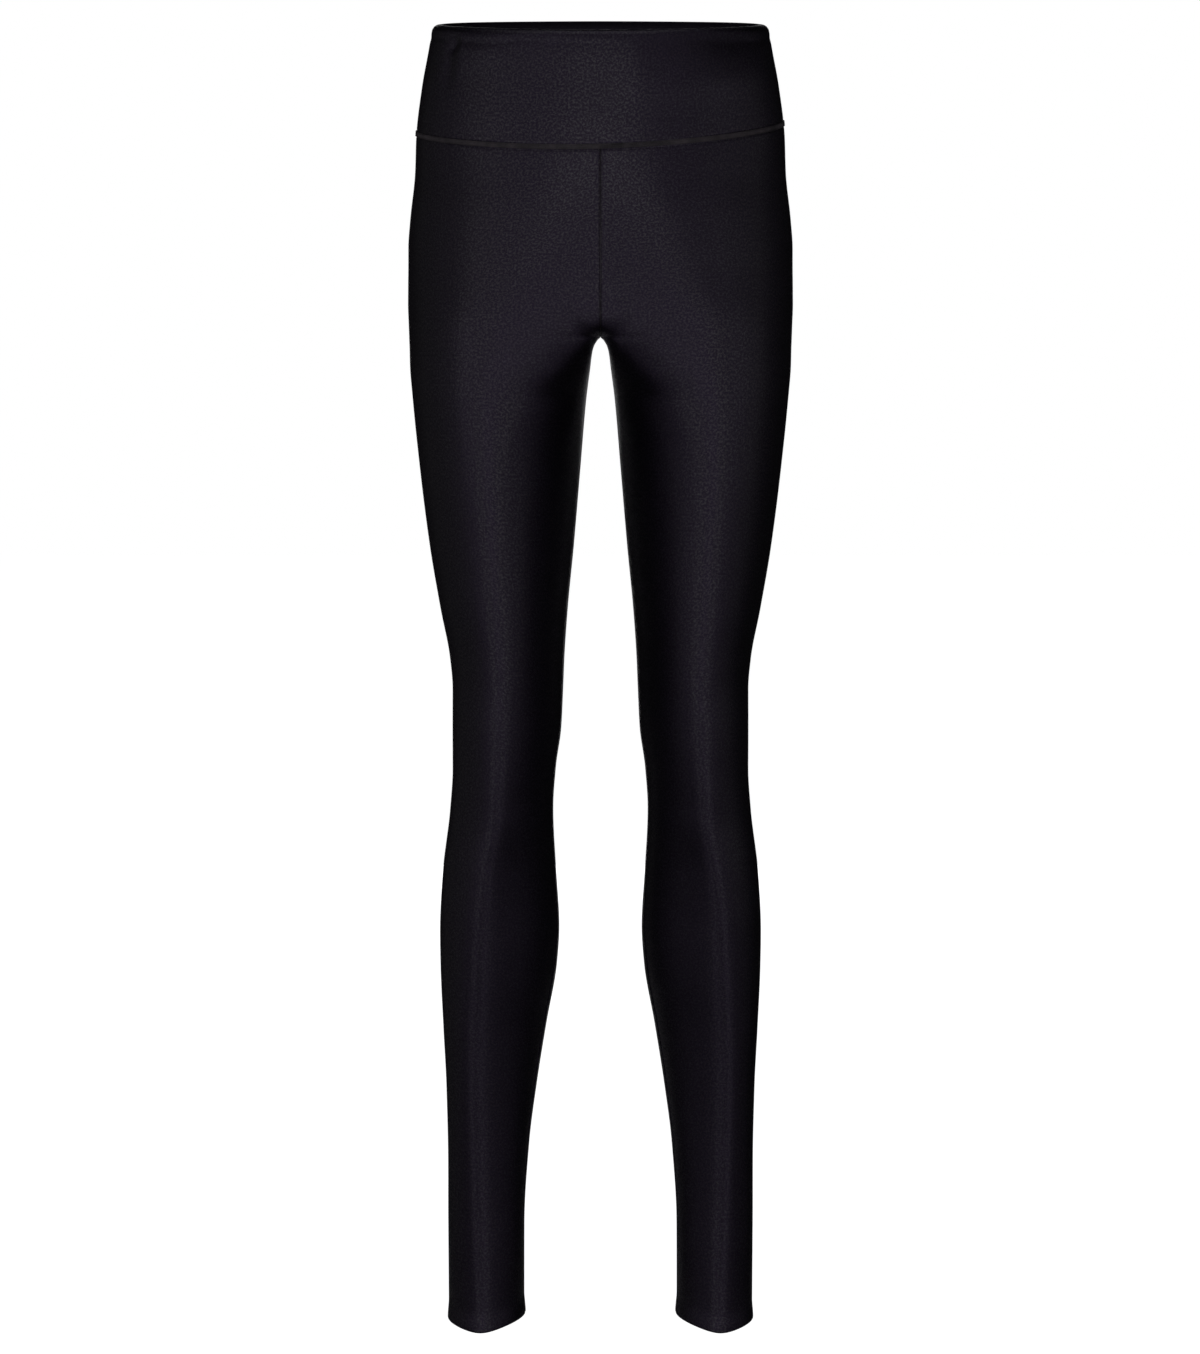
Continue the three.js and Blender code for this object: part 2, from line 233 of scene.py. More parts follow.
# A closed wall between an outer and an inner grid of points. Rows that both grids share at the
# top or the bottom are a rolled or folded edge, and are one row of vertices. The outer face has
# the first material and the inner face the second.
def makeWall(name, outer, inner, uv, materials, side=1, foldTop=False, foldLow=False):
    rows, columns = outer.shape[:2]
    first = np.arange(rows * columns).reshape(rows, columns)
    kept = slice(1 if foldTop else 0, rows - 1 if foldLow else rows)
    second = rows * columns + np.arange(inner[kept].shape[0] * columns).reshape(-1, columns)
    if foldTop:
        second = np.vstack([first[:1], second])
    if foldLow:
        second = np.vstack([second, first[-1:]])
    parts = [gridFaces(first), gridFaces(second)[:, ::-1]]
    edges = [(first[:, 0], second[:, 0], 1), (first[:, -1], second[:, -1], -1)]
    if not foldTop:
        edges.append((first[0], second[0], -1))
    if not foldLow:
        edges.append((first[-1], second[-1], 1))
    for a, b, turn in edges:
        squares = np.stack([a[:-1], b[:-1], b[1:], a[1:]], 1)
        parts.append(squares[:, ::turn])
    points = np.vstack([outer.reshape(-1, 3), inner[kept].reshape(-1, 3)])
    uvs = np.vstack([uv.reshape(-1, 2), uv[kept].reshape(-1, 2)])
    faces = np.vstack(parts)
    same = (faces == np.roll(faces, 1, axis=1)).any(1)
    triangles = [sorted(set(f), key=list(f).index) for f in faces[same].tolist()]
    if side < 0:
        points = points * (-1, 1, 1)
        faces = faces[:, ::-1]
        triangles = [t[::-1] for t in triangles]
    made = makeObject(name, points, faces[~same], materials, uvs)
    if triangles:
        print(name, "has", len(triangles), "doubled corners")
    slots = np.zeros(len(made.data.polygons), np.int32)
    slots[len(parts[0]):len(parts[0]) + len(parts[1])] = 1
    made.data.polygons.foreach_set("material_index", slots)
    return made


# Soft folds, each listed one by one: its middle in the picture plane of its face ("front" and "back"
# read x and z, "side" reads y and z), how far it runs along its tilt, its half width, how high it
# stands (below zero it is a trough) and how much it bends.
def foldHeight(points, normals, folds, side):
    height = np.zeros(points.shape[:-1])
    for fold in folds:
        at = points[..., 1] if fold["face"] == "side" else side * points[..., 0]
        facing = {"front": -normals[..., 1], "back": normals[..., 1], "side": normals[..., 0]}
        seen = smoothStep(facing[fold["face"]], 0.05, 0.45)
        tilt = math.radians(fold["tilt"])
        dx, dz = at - fold["at"][0], points[..., 2] - fold["at"][1]
        along = dx * math.cos(tilt) + dz * math.sin(tilt)
        across = dz * math.cos(tilt) - dx * math.sin(tilt) - fold.get("bend", 0) * along * along
        shape = np.exp(-((across / fold["width"]) ** 2) - (np.abs(along) / fold["length"]) ** 3)
        height += seen * fold["height"] * shape
    return height


# One socket of a node tree. The sums written on it add Math nodes, and node() adds any other.
class Wire:
    def __init__(self, tree, socket=None):
        self.tree, self.socket = tree, socket

    def node(self, kind, settings=None, sockets=None, out=0):
        made = self.tree.nodes.new("ShaderNode" + kind)
        for name, value in (settings or {}).items():
            if name == "stops":
                ramp = made.color_ramp
                while len(ramp.elements) < len(value):
                    ramp.elements.new(1)
                for element, (place, colour) in zip(ramp.elements, value):
                    element.position, element.color = place, (*colour, 1)
            else:
                setattr(made, name, value)
        for name, value in (sockets or {}).items():
            if isinstance(value, Wire):
                self.tree.links.new(value.socket, made.inputs[name])
            else:
                made.inputs[name].default_value = value
        return Wire(self.tree, made.outputs[out] if len(made.outputs) else None)

    def maths(self, operation, *values):
        return self.node("Math", {"operation": operation}, dict(enumerate(values)))

    def __add__(self, other):
        return self.maths("ADD", self, other)

    def __sub__(self, other):
        return self.maths("SUBTRACT", self, other)

    def __rsub__(self, other):
        return self.maths("SUBTRACT", other, self)

    def __mul__(self, other):
        return self.maths("MULTIPLY", self, other)

    __radd__ = __add__
    __rmul__ = __mul__


def newMaterial(name, colour):
    material = bpy.data.materials.new(name)
    material.use_nodes = True
    material.node_tree.nodes.clear()
    material.diffuse_color = (*colour, 1)
    return material, Wire(material.node_tree)


knitFinish = {
    "deep": (0.0004, 0.0003, 0.0006),
    "light": (0.0014, 0.0011, 0.0020),
    "roughness": 0.37,
    "specular": 0.63,
    "tint": (0.77, 0.61, 1.0),
    "coat": (0.0, 1.0),  # least and most weight of the gloss, in hollows and on tops
    "coatRoughness": 0.34,
    "wale": 0.46,  # mm from one column of stitches to the next
    "course": 0.38,  # mm from one row of stitches to the next
    "stitchDepth": 0.035,
    "grain": 1.7,  # mm, the fine mottling of the yarn
    "grainDepth": 0.05,
    "courseSwing": 1.1,  # radians that a course swings with the wale
    "roughnessSwing": 0.16,
    "speckle": (0.46, 0.62),  # grain values between which the gloss comes up
}
reverseFinish = dict(
    knitFinish, deep=(0.02, 0.0175, 0.024), light=(0.05, 0.044, 0.056),
    roughness=0.62, coat=(0, 0.1),
)


# Fine jersey. Stitch height is a cosine across the wales times a cosine down the courses whose
# phase swings with the wale, as the legs of the stitches do; a fine noise mottles its colour,
# gloss and height, and a wide one varies it slowly.
def knitMaterial(name, finish):
    material, wire = newMaterial(name, finish["light"])
    place = wire.node("UVMap", {"uv_map": "Cloth"})
    parts = place.node("SeparateXYZ", None, {0: place})
    across = parts * (2 * math.pi / (finish["wale"] * metre))
    lengthwise = Wire(wire.tree, parts.socket.node.outputs[1])
    down = lengthwise * (2 * math.pi / (finish["course"] * metre))
    wale = across.maths("COSINE", across)
    course = down.maths("COSINE", down + wale * finish["courseSwing"])
    fine = wire.node("TexNoise", None, {
        "Vector": place, "Scale": 1 / (finish["grain"] * metre), "Detail": 3.0, "Roughness": 0.75,
    })
    wide = wire.node("TexNoise", None, {
        "Vector": place, "Scale": 55.0, "Detail": 3.0, "Roughness": 0.55,
    })
    mottled = fine * 0.8 + wide * 0.2
    stops = [(0.3, finish["deep"]), (0.7, finish["light"])]
    colour = wire.node("ValToRGB", {"stops": stops}, {"Fac": mottled})
    stitches = (wale * 0.5 + course * 0.5) * (finish["stitchDepth"] * metre)
    height = stitches + fine * (finish["grainDepth"] * metre)
    bump = wire.node("Bump", None, {"Height": height, "Distance": 1.0, "Strength": 1.0})
    gloss = finish["roughness"] + (mottled - 0.5) * finish["roughnessSwing"]
    (start, full), (low, high) = finish["speckle"], finish["coat"]
    coat = wire.node("MapRange", None, {0: fine, 1: start, 2: full, 3: low, 4: high})
    shader = wire.node("BsdfPrincipled", None, {
        "Base Color": colour, "Roughness": gloss, "Normal": bump, "Coat Weight": coat,
        "Specular Tint": (*finish["tint"], 1), "Specular IOR Level": finish["specular"],
        "Coat Roughness": finish["coatRoughness"],
    })
    wire.node("OutputMaterial", None, {"Surface": shader})
    return material


threadFinish = {"colour": (0.085, 0.073, 0.083), "roughness": 0.6}


def threadMaterial(name, finish):
    material, wire = newMaterial(name, finish["colour"])
    place = wire.node("TexCoord", out=3)
    fuzz = wire.node("TexNoise", None, {"Vector": place, "Scale": 1600.0, "Detail": 3.0})
    worn = wire.node("TexNoise", None, {"Vector": place, "Scale": 90.0, "Detail": 2.0})
    dark = tuple(0.3 * c for c in finish["colour"])
    stops = [(0.36, dark), (0.64, finish["colour"])]
    colour = wire.node("ValToRGB", {"stops": stops}, {"Fac": fuzz * 0.35 + worn * 0.65})
    bump = wire.node("Bump", None, {"Height": fuzz, "Distance": 0.00008, "Strength": 1.0})
    shader = wire.node("BsdfPrincipled", None, {
        "Base Color": colour, "Roughness": finish["roughness"] + fuzz * 0.1, "Normal": bump,
        "Specular Tint": (0.95, 0.9, 1.0, 1),
    })
    wire.node("OutputMaterial", None, {"Surface": shader})
    return material


glossyKnit = knitMaterial("glossyKnit", knitFinish)
knitReverse = knitMaterial("knitReverse", reverseFinish)
seamThread = threadMaterial("seamThread", threadFinish)

legCloth = {
    "columns": 150,
    "edgeCrowding": 0.8,  # how much closer columns lie at the middle seams than at the side
    "rowStep": 3.2,
    "wall": 1.1,
    "ridgeRows": (0, 0.8, 1.5, 2, 2.4, 2.8, 3.2, 3.6, 4.1, 4.7, 5.5, 6.5, 8, 9.5),
    "ridgeWidth": 1.9,
    "ridgeHeight": 0.3,
    "ridgeGroove": 0.22,
    "ridgeGrooveAway": 2.5,
    "ridgeGrooveWidth": 0.4,
    "hemRows": (14.8, 14.4, 14.1, 13.8, 13.2, 12, 10, 8, 6, 4.4, 3.2, 2.3, 1.6, 1.1, 0.7, 0.35, 0.1, 0),
    "hemFlare": 1.1,
    "hemFold": 1.1,  # half of the two layers' thickness at the fold
    "seamGroove": 0.8,
    "seamGrooveWidth": 0.85,
}
legFolds = {
    "leg_left": [
        {"face": "front", "at": (13, -245), "tilt": 82, "length": 13, "width": 4, "height": 1.0},
        {"face": "front", "at": (22, -224), "tilt": 50, "length": 22, "width": 7, "height": -0.8},
        {"face": "back", "at": (78, -520), "tilt": 4, "length": 34, "width": 5, "height": -1.2,
         "bend": 0.004},
        {"face": "back", "at": (74, -538), "tilt": -5, "length": 28, "width": 4, "height": -0.9,
         "bend": 0.003},
        {"face": "back", "at": (80, -556), "tilt": 3, "length": 30, "width": 5, "height": -0.7},
    ],
    "leg_right": [
        {"face": "front", "at": (-20, -226), "tilt": -50, "length": 24, "width": 7, "height": -0.8},
        {"face": "back", "at": (-77, -516), "tilt": -6, "length": 30, "width": 5, "height": -1.0,
         "bend": 0.004},
        {"face": "back", "at": (-74, -535), "tilt": 2, "length": 33, "width": 5, "height": -1.1,
         "bend": 0.003},
        {"face": "back", "at": (-79, -561), "tilt": -3, "length": 24, "width": 4, "height": -0.7},
    ],
}


# Columns 0 to 1, closer together towards both ends by a sine
def crowdedColumns(count, crowding):
    t = np.linspace(0, 1, count)
    return t - crowding * np.sin(2 * math.pi * t) / (2 * math.pi)


# The cloth's relief at a distance from the waist seam: a low ridge that ends in a smooth step, and a
# bell-shaped dip just past it
def seamRelief(fromSeam, cloth):
    edge = cloth["ridgeWidth"]
    ridge = cloth["ridgeHeight"] * (1 - smoothStep(fromSeam, edge - 0.5, edge + 0.5))
    past = (fromSeam - cloth["ridgeGrooveAway"]) / cloth["ridgeGrooveWidth"]
    return ridge, cloth["ridgeGroove"] * np.exp(-(past ** 2))


# A leg of one cut piece, from the centre front seam round the outer side to the centre back seam.
# Its rows start parallel to the waist seam, end parallel to the hem, and crowd at the crotch. The
# outer face is the body surface plus ridge, hem flare, seam grooves and folds along its normal;
# the inner face lies one wall further in, and two walls inside the turned-up hem.
def makeLeg(name, node, side):
    seam, hem = body["waistSeam"], body["hemEdge"]
    gap, crotch = body["seamGap"], body["crotchHeight"]
    away = np.array(legCloth["ridgeRows"])
    up = np.array(legCloth["hemRows"])
    top = seam["side"] - gap / 2
    plainTop, plainLow = top - away[-1], hem["side"] + up[0]
    step = legCloth["rowStep"]
    upper = np.linspace(plainTop, crotch, int((plainTop - crotch) / step) + 2)[1:]
    lower = np.linspace(crotch, plainLow, int((crotch - plainLow) / step) + 2)[1:-1]
    sideZ = np.concatenate([top - away, upper, lower, hem["side"] + up])[:, None]
    v = crowdedColumns(legCloth["columns"] + 1, legCloth["edgeCrowding"])[None, :]
    v[0, 0], v[0, -1] = 0, 1
    above = sideZ - crotch
    crowded = above * (1 - np.exp(-np.abs(above) / body["rowEase"]))
    level = crotch + mix(above, crowded, np.abs(2 * v - 1) ** 4)
    angle = bodySurface(level, v)[1]
    nearSeam = smoothStep(sideZ, crotch, seam["side"] - 4.2)
    nearHem = 1 - smoothStep(sideZ, plainLow, plainLow + 130)
    z = (
        level
        + nearSeam * (edgeHeight(seam, angle, side) - seam["side"])
        + nearHem * (edgeHeight(hem, angle, 1) - hem["side"])
    )
    points = bodySurface(z, v)[0]
    normals = gridNormals(points)
    joined = normals[:, 0] + normals[:, -1]
    above = z[:, :1] >= crotch
    for edge, ahead in ((0, 1), (-1, -1)):
        rise = np.vstack([points[:1, edge] - points[1:2, edge], points[:-1, edge] - points[1:, edge]])
        flat = np.stack([0 * rise[:, 0], -ahead * rise[:, 2], ahead * rise[:, 1]], 1)
        own = np.where(above, flat, joined)
        normals[:, edge] = own / np.linalg.norm(own, axis=1, keepdims=True)
    row = runLength(points, 1)
    fromEdge = np.minimum(row, row[:, -1:] - row)
    fromSeam = top - sideZ
    fromHem = sideZ - hem["side"]
    ridge, dip = seamRelief(fromSeam, legCloth)
    groove = legCloth["seamGroove"] * np.exp(-((fromEdge / legCloth["seamGrooveWidth"]) ** 2))
    fade = smoothStep(fromHem, 4, 30) * smoothStep(fromSeam, 6, 30)
    folds = foldHeight(points, normals, legFolds[name], side) * fade
    flare = legCloth["hemFlare"] * (1 - smoothStep(fromHem, 0, 16))
    fold = legCloth["hemFold"]
    round_ = np.sqrt(1 - (1 - np.clip(fromHem / fold, 0, 1)) ** 2)
    outside = ridge - dip - groove + folds + flare - fold * (1 - round_)
    doubled = 1 - smoothStep(fromHem, 13.7, 14.3)
    thick = mix(legCloth["wall"], 2 * fold * round_, doubled)
    inside = outside - thick - ridge * 0.6
    outer = points + normals * outside[..., None]
    inner = points + normals * inside[..., None]
    half = gap / 2
    outer[..., 0] = np.maximum(outer[..., 0], half * 0.3)
    inner[..., 0] = np.maximum(inner[..., 0], half * 0.3)
    middle = row - row[:, [legCloth["columns"] // 2]]
    length = runLength(points, 0)[:, [legCloth["columns"] // 2]] + 0 * row
    uv = np.stack([side * middle, -length], -1)
    made = makeWall(name, outer, inner, uv, [glossyKnit, knitReverse], side, foldLow=True)
    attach(made, "root")
    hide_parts(node)


bandCloth = {
    "columns": 176,
    "rollLow": 14,
    "middleRows": 42,
    "rollRows": (
        0, 0.1, 0.35, 0.7, 1.2, 1.8, 2.6, 3.5, 4.5, 5.5, 6.5, 7.5, 8.3, 9, 9.6, 10.2, 10.8, 11.5, 12.3,
        13.1, 14,
    ),
    "ridgeRows": (8, 6.5, 5.5, 4.7, 4.1, 3.6, 3.2, 2.8, 2.4, 2, 1.5, 0.8, 0),
    "rollDown": (0, 1, 2.6, 5, 8, 10.5),  # mm below the top edge, for the two rows beneath
    "rollMiddle": (-6.3, -4.4, -2.75, -1.5, -1.25, -1.1),  # the roll's middle, outwards
    "rollHalf": (1.15, 1.6, 1.6, 1.45, 1.3, 1.1),  # half of its thickness
    "rollLine": {"down": 12, "width": 2.6, "depth": 0.4, "swing": 1.1},
    "ridgeHeight": 0.3,
    "ridgeWidth": 1.9,
    "ridgeGroove": 0.22,
    "ridgeGrooveAway": 2.5,
    "ridgeGrooveWidth": 0.4,
    "sideGroove": 0.6,
    "sideGrooveWidth": 1.2,
}
bandFolds = {
    "band_front": [
        {"face": "front", "at": (-108, -19), "tilt": 66, "length": 6, "width": 2.8, "height": -1.7},
        {"face": "front", "at": (-112, -30), "tilt": 86, "length": 20, "width": 4.6, "height": -1.6},
        {"face": "front", "at": (-104, -28), "tilt": 84, "length": 18, "width": 4.5, "height": 0.5},
        {"face": "front", "at": (78, -14), "tilt": 2, "length": 42, "width": 11, "height": -1.7},
        {"face": "front", "at": (78, -47), "tilt": 4, "length": 42, "width": 16, "height": 1.3},
        {"face": "front", "at": (26, -32), "tilt": 84, "length": 28, "width": 13, "height": 0.8},
        {"face": "front", "at": (-92, -26), "tilt": 20, "length": 16, "width": 12, "height": 0.7},
    ],
    "band_back": [
        {"face": "back", "at": (70, -24), "tilt": 65, "length": 30, "width": 15, "height": -0.8},
        {"face": "back", "at": (-86, -30), "tilt": -60, "length": 26, "width": 13, "height": -0.7},
        {"face": "back", "at": (4, -36), "tilt": 88, "length": 30, "width": 18, "height": 0.6},
    ],
}


# Half of the double waistband, from one side seam round the front or the back to the other. Its
# rows run from the top edge down to the waist seam. Across its wall the elastic roll is a half
# thickness round a middle line, closed at the top by a half circle.
def makeBand(name, node, start):
    columns = bandCloth["columns"]
    turn = np.linspace(start, start + math.pi, columns + 1)[None, :]
    side = np.where(np.sin(turn) < 0, -1, 1)
    v = np.arccos(np.clip(np.cos(turn), -1, 1)) / math.pi
    top = edgeHeight(body["topEdge"], v * math.pi, side)
    seam = edgeHeight(body["waistSeam"], v * math.pi, side)
    down = np.array(bandCloth["rollRows"])[:, None]
    share = np.linspace(0, 1, bandCloth["middleRows"] + 2)[1:-1, None]
    away = np.array(bandCloth["ridgeRows"])[:, None] + body["seamGap"] / 2
    z = np.vstack([top - down, mix(top - bandCloth["rollLow"], seam + away[0], share), seam + away])
    points = bodySurface(z, v)[0]
    points[..., 0] = np.where((v == 0) | (v == 1), 0, side * points[..., 0])
    normals = gridNormals(points)
    fromTop, fromSeam = top - z, z - seam - body["seamGap"] / 2
    row = runLength(points, 1)
    fromEdge = np.minimum(row, row[:, -1:] - row)
    line = bandCloth["rollLine"]
    swing = line["swing"] * np.sin(turn * 7 + 1.2) + 0.4 * line["swing"] * np.sin(turn * 17)
    strength = 0.55 + 0.45 * np.sin(turn * 2.0 - 2.2)
    offLine = (fromTop - line["down"] - swing) / line["width"]
    rollLine = line["depth"] * strength * np.exp(-(offLine ** 2))
    ridge, dip = seamRelief(fromSeam, bandCloth)
    groove = bandCloth["sideGroove"] * np.exp(-((fromEdge / bandCloth["sideGrooveWidth"]) ** 2))
    fade = smoothStep(fromSeam, 5, 16) * smoothStep(fromTop, 0, 6)
    folds = foldHeight(points, normals, bandFolds[name], 1) * fade
    middle = np.interp(fromTop, bandCloth["rollDown"], bandCloth["rollMiddle"])
    cap = np.sqrt(1 - (1 - np.clip(fromTop / 1.2, 0, 1)) ** 2)
    half = np.interp(fromTop, bandCloth["rollDown"], bandCloth["rollHalf"]) * cap
    relief = ridge - dip - groove + folds - rollLine
    outer = points + normals * (middle + half + relief)[..., None]
    inner = points + normals * (middle - half + 0.6 * folds)[..., None]
    uv = np.stack([row - row[:, [columns // 2]], -fromTop + 0 * row], -1)
    made = makeWall(name, outer, inner, uv, [glossyKnit, knitReverse], foldTop=True)
    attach(made, "root")
    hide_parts(node)


# A tube of the given radius along a path of points, with a chosen number of sides. Its frame
# comes from the path's direction and an outward vector for each point; ends meet if it is closed.
def tubeGrid(path, outward, radius, sides, closed):
    ahead = np.roll(path, -1, 0) - np.roll(path, 1, 0) if closed else np.gradient(path, axis=0)
    ahead /= np.linalg.norm(ahead, axis=1, keepdims=True)
    beside = np.cross(outward, ahead)
    beside /= np.linalg.norm(beside, axis=1, keepdims=True)
    up = np.cross(ahead, beside)
    turn = np.linspace(0, 2 * math.pi, sides, endpoint=False)[None, :, None]
    return path[:, None] + radius * (np.cos(turn) * beside[:, None] + np.sin(turn) * up[:, None])


# Faces of a grid whose columns go round a tube: the columns wrap, and the rows wrap too if the path
# is closed
def tubeFaces(grid, closed):
    rows, columns = grid.shape[:2]
    numbers = np.arange(rows * columns).reshape(rows, columns)
    numbers = np.hstack([numbers, numbers[:, :1]])
    if closed:
        numbers = np.vstack([numbers, numbers[:1]])
    return gridFaces(numbers)


# One mesh of several tubes. A flat face closes each end of a tube whose path is open.
def makeTubes(name, tubes, material):
    points, faces, count = [], [], 0
    ends = []
    for grid, closed in tubes:
        faces.append(tubeFaces(grid, closed) + count)
        if not closed:
            columns = grid.shape[1]
            first = np.arange(columns) + count
            last = first + (grid.shape[0] - 1) * columns
            ends += [first.tolist(), last[::-1].tolist()]
        points.append(grid.reshape(-1, 3))
        count += grid.shape[0] * grid.shape[1]
    mesh = bpy.data.meshes.new(name)
    mesh.from_pydata((np.vstack(points) * metre).tolist(), [], np.vstack(faces).tolist() + ends)
    mesh.polygons.foreach_set("use_smooth", np.full(len(mesh.polygons), True))
    mesh.materials.append(material)
    mesh.update()
    made = bpy.data.objects.new(name, mesh)
    bpy.context.scene.collection.objects.link(made)
    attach(made, "root")


# A ring of points round the whole body at the waist seam, with its outward and downward vectors
def waistRing(count):
    turn = np.linspace(0, 2 * math.pi, count, endpoint=False)
    side = np.where(np.sin(turn) < 0, -1, 1)
    v = np.arccos(np.clip(np.cos(turn), -1, 1)) / math.pi
    z = edgeHeight(body["waistSeam"], v * math.pi, side)
    step = np.array([-1.0, 0.0, 1.0])[:, None]
    points = bodySurface(z + step, v)[0]
    points[..., 0] = np.where((v == 0) | (v == 1), 0, side * points[..., 0])
    down = points[0] - points[2]
    down /= np.linalg.norm(down, axis=1, keepdims=True)
    ahead = np.roll(points[1], -1, 0) - np.roll(points[1], 1, 0)
    outward = np.cross(down, ahead)
    outward *= np.sign((outward * points[1] * (1, 1, 0)).sum(1, keepdims=True))
    outward /= np.linalg.norm(outward, axis=1, keepdims=True)
    return points[1], outward, down


coverStitch = {
    "stitches": 330,
    "pointsPerStitch": 10,
    "width": 1.5,  # from the seam's middle to the outer needle lines
    "lift": 0.5,  # middle of the threads above the cloth's own surface
    "looperRadius": 0.21,
    "needleRadius": 0.17,
    "stripHalf": 1.9,
    "stripRaised": (0.2, 0.5),
}


# The waist seam's flat cover: a strip under a looper thread that swings from side to side as a
# rounded zigzag, a second one half a swing later, and three needle threads that dip at each stitch.
def makeWaistSeam():
    count = coverStitch["stitches"] * coverStitch["pointsPerStitch"]
    middle, outward, down = waistRing(count)
    phase = np.linspace(0, coverStitch["stitches"], count, endpoint=False)[:, None]
    tubes = []
    for shift in (0, 0.5):
        swing = np.arcsin(0.96 * np.sin(2 * math.pi * (phase + shift))) / (math.pi / 2)
        lift = coverStitch["lift"] + 0.08 * np.cos(4 * math.pi * phase)
        path = middle + down * swing * coverStitch["width"] + outward * lift
        tubes.append((tubeGrid(path, outward, coverStitch["looperRadius"], 5, True), True))
    for line in (-1, 0, 1):
        lift = coverStitch["lift"] + 0.12 + 0.1 * np.cos(2 * math.pi * phase)
        path = middle + down * line * coverStitch["width"] + outward * lift
        tubes.append((tubeGrid(path, outward, coverStitch["needleRadius"], 4, True), True))
    makeTubes("waist_seam_threads", tubes, seamThread)
    low, high = coverStitch["stripRaised"]
    half = coverStitch["stripHalf"]
    every = slice(None, None, 5)
    m, o, d = middle[every, None], outward[every, None], down[every, None]
    near, under = half * 0.9, low - 0.1
    across = np.array([-half, -near, 0, near, half, near, 0, -near])[None, :, None]
    raised = np.array([low, high - 0.1, high, high - 0.1, low, under, under, under])[None, :, None]
    makeTubes("waist_seam_strip", [(m + d * across + o * raised, True)], seamThread)


# The rows of values at new lengths along a path, drawn straight between those at its own lengths
def atLengths(new, own, values):
    return np.stack([np.interp(new, own, column) for column in values.T], 1)


innerSeam = {
    "step": 2.0,
    "stitch": 3.0,  # mm along the seam for one stitch of the overlock
    "inset": 1.0,  # middle of the seam's ridge inside the cloth's own surface
    "halfWidth": 2.6,
    "halfThickness": 0.75,
    "threadRadius": 0.17,
}


# The sewn-in edges of a seam, seen from inside: a flat ridge along the path that closes the gap
# between two pieces, under an overlock thread that winds round it. The ridge's section is an
# ellipse, and the thread's angle round it grows evenly with the length of the path.
def makeInnerSeam(name, path, outward):
    length = runLength(path, 0)
    even = np.arange(0, length[-1], innerSeam["step"])
    middle, out = atLengths(even, length, path), atLengths(even, length, outward)
    out /= np.linalg.norm(out, axis=1, keepdims=True)
    ahead = np.gradient(middle, axis=0)
    beside = np.cross(out, ahead)
    beside /= np.linalg.norm(beside, axis=1, keepdims=True)
    turn = np.linspace(0, 2 * math.pi, 10, endpoint=False)[None, :, None]
    centre = middle - out * (innerSeam["inset"] + innerSeam["halfThickness"])
    wide, thick = innerSeam["halfWidth"], innerSeam["halfThickness"]
    sideways, inAndOut = np.cos(turn) * beside[:, None], np.sin(turn) * out[:, None]
    ridge = centre[:, None] + wide * sideways + thick * inAndOut
    fine = np.arange(0, even[-1], 0.5)
    angle = 2 * math.pi * fine[:, None] / innerSeam["stitch"]
    axis, across, up = (atLengths(fine, even, values) for values in (centre, beside, out))
    wound = axis + across * (wide + 0.1) * np.cos(angle) + up * (thick + 0.1) * np.sin(angle)
    thread = tubeGrid(wound, up, innerSeam["threadRadius"], 4, False)
    makeTubes(name, [(ridge, False), (thread, False)], seamThread)


# The centre seam runs down the front, under the crotch and up the back, all in the middle plane,
# where outward is its direction turned a quarter. Each inseam runs down from the crotch.
def makeInnerSeams():
    crotch, crowd = body["crotchHeight"], np.linspace(0, 1, 120) ** 2
    seam = body["waistSeam"]
    front = bodySurface(mix(crotch, seam["front"] - 3, crowd[::-1]), np.zeros(120))[0]
    back = bodySurface(mix(crotch, seam["back"] - 3, crowd[1:]), np.ones(119))[0]
    path = np.vstack([front, back]) * (0, 1, 1)
    ahead = np.gradient(path, axis=0)
    outward = np.stack([0 * ahead[:, 0], ahead[:, 2], -ahead[:, 1]], 1)
    outward /= np.linalg.norm(outward, axis=1, keepdims=True)
    makeInnerSeam("centre_seam", path, outward)
    heights = np.linspace(crotch - 4, body["hemEdge"]["side"] + 15, 260)
    edges = bodySurface(heights, np.zeros(260))[0]
    for name, side in (("inseam_left", 1), ("inseam_right", -1)):
        makeInnerSeam(name, edges * (side, 1, 1), np.tile([-side, 0.0, 0.0], (260, 1)))


makeLeg("leg_left", "left_leg", 1)
makeLeg("leg_right", "right_leg", -1)
print("legs made")
makeBand("band_front", "waistband_front", -math.pi / 2)
makeBand("band_back", "waistband_back", math.pi / 2)
print("waistband made")
makeWaistSeam()
makeInnerSeams()
print("seams made")

photoView = {"place": (-0.00038, -3.3, -0.25), "pitch": 4.186, "focal": 4360, "size": (1200, 1354)}


def makeCamera():
    data = bpy.data.cameras.new("camera")
    data.sensor_width = 36
    data.lens = photoView["focal"] / max(photoView["size"]) * data.sensor_width
    data.clip_end = 50
    camera = bpy.data.objects.new("camera", data)
    camera.location = photoView["place"]
    camera.rotation_euler = (math.radians(90 - photoView["pitch"]), 0, 0)
    bpy.context.scene.collection.objects.link(camera)
    bpy.context.scene.camera = camera
    bpy.context.scene.view_settings.view_transform = "Standard"


